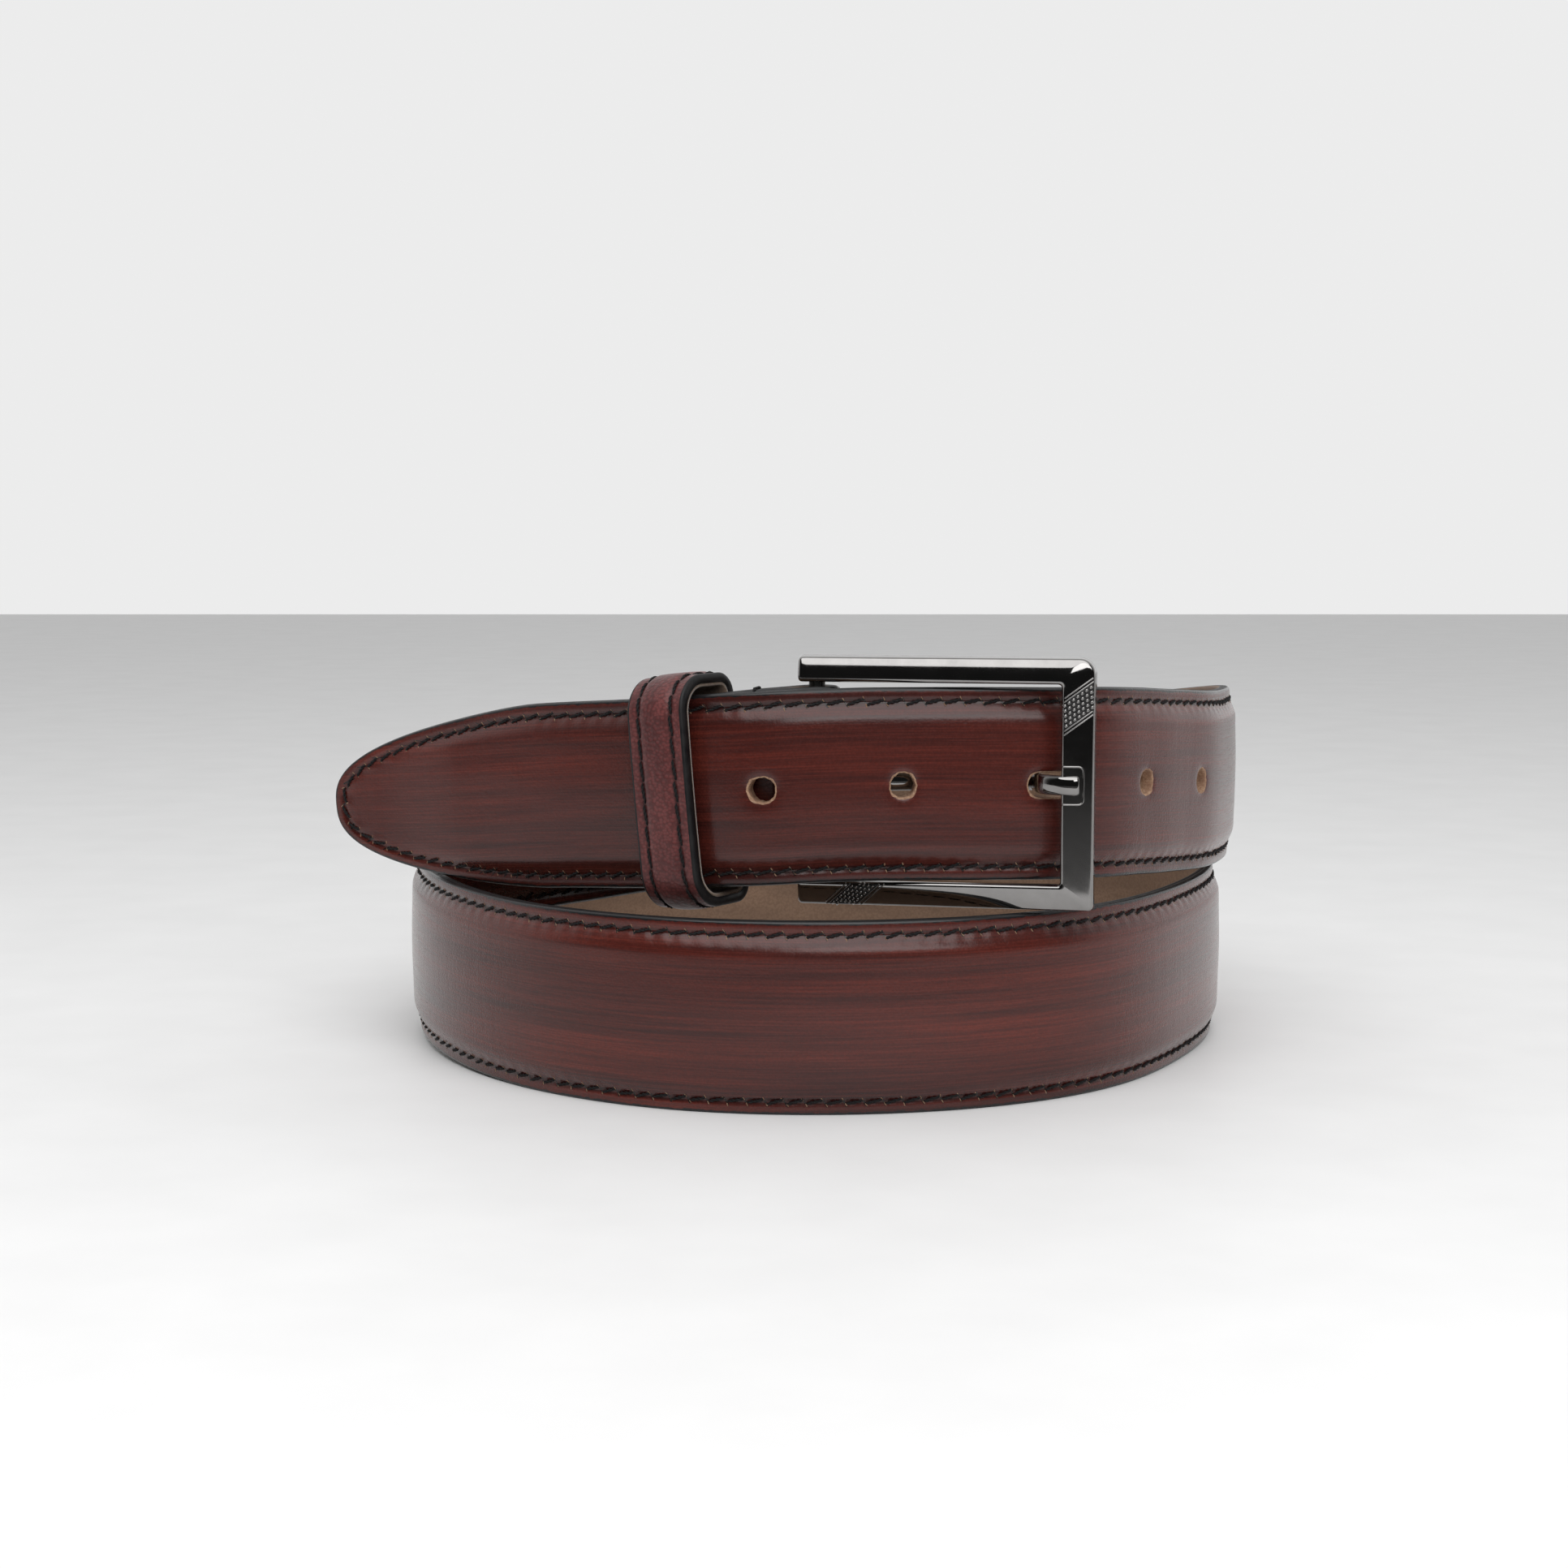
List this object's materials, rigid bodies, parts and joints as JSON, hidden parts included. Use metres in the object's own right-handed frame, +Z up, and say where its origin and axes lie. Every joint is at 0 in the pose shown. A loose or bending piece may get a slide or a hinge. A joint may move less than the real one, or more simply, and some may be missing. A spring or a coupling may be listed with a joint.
{
  "type": "leather belt",
  "caption": "Padded leather dress belt wound in a double coil and fastened, with open-ended frame buckle, prong and keeper, standing on its edge.",
  "frame": {"origin": "on the surface that the belt stands on, under the middle of the whole belt", "axes": "+Z up, the buckle faces -Y, the tip points towards -X"},
  "size_m": [0.1853, 0.1766, 0.0816],
  "materials": {
    "strap_leather": "polished burgundy, hand burnished",
    "padding_board": "raw bonded board",
    "strap_lining": "matte tan",
    "thread": "waxed black thread",
    "gunmetal": "polished dark gunmetal plate",
    "bar_steel": "drawn steel",
    "keeper_leather": "satin burgundy, fine grain",
    "keeper_suede": "brushed suede"
  },
  "bodies": {
    "strap": {"strap_leather": "strap_leather", "strap_padding": "padding_board", "strap_lining": "strap_lining", "edge_stitching": "thread", "fold_stitching_near": "thread", "fold_stitching_far": "thread"},
    "buckle": {"buckle_frame": "gunmetal", "hinge_bar": "bar_steel"},
    "prong": {"prong": "gunmetal"},
    "keeper": {"keeper_leather": "keeper_leather", "keeper_core": "padding_board", "keeper_lining": "keeper_suede", "keeper_stitching_left": "thread", "keeper_stitching_right": "thread", "keeper_staple": "bar_steel"}
  },
  "joints": [
    {"name": "buckle_swing", "type": "hinge", "parent": "strap", "child": "buckle", "pos_m": [0.00351, -0.06961, 0.0586], "axis": [0, 0, 1], "range_deg": [-0.4, 2.4]},
    {"name": "prong_lift", "type": "hinge", "parent": "buckle", "child": "prong", "pos_m": [0.00351, -0.06961, 0.0586], "axis": [0, 0, -1], "range_deg": [0, 0.5]},
    {"name": "keeper_slide", "type": "slide", "parent": "strap", "child": "keeper", "axis": [-0.8239, 0.5576, -0.1016], "range_m": [-0.002, 0.002]}
  ]
}
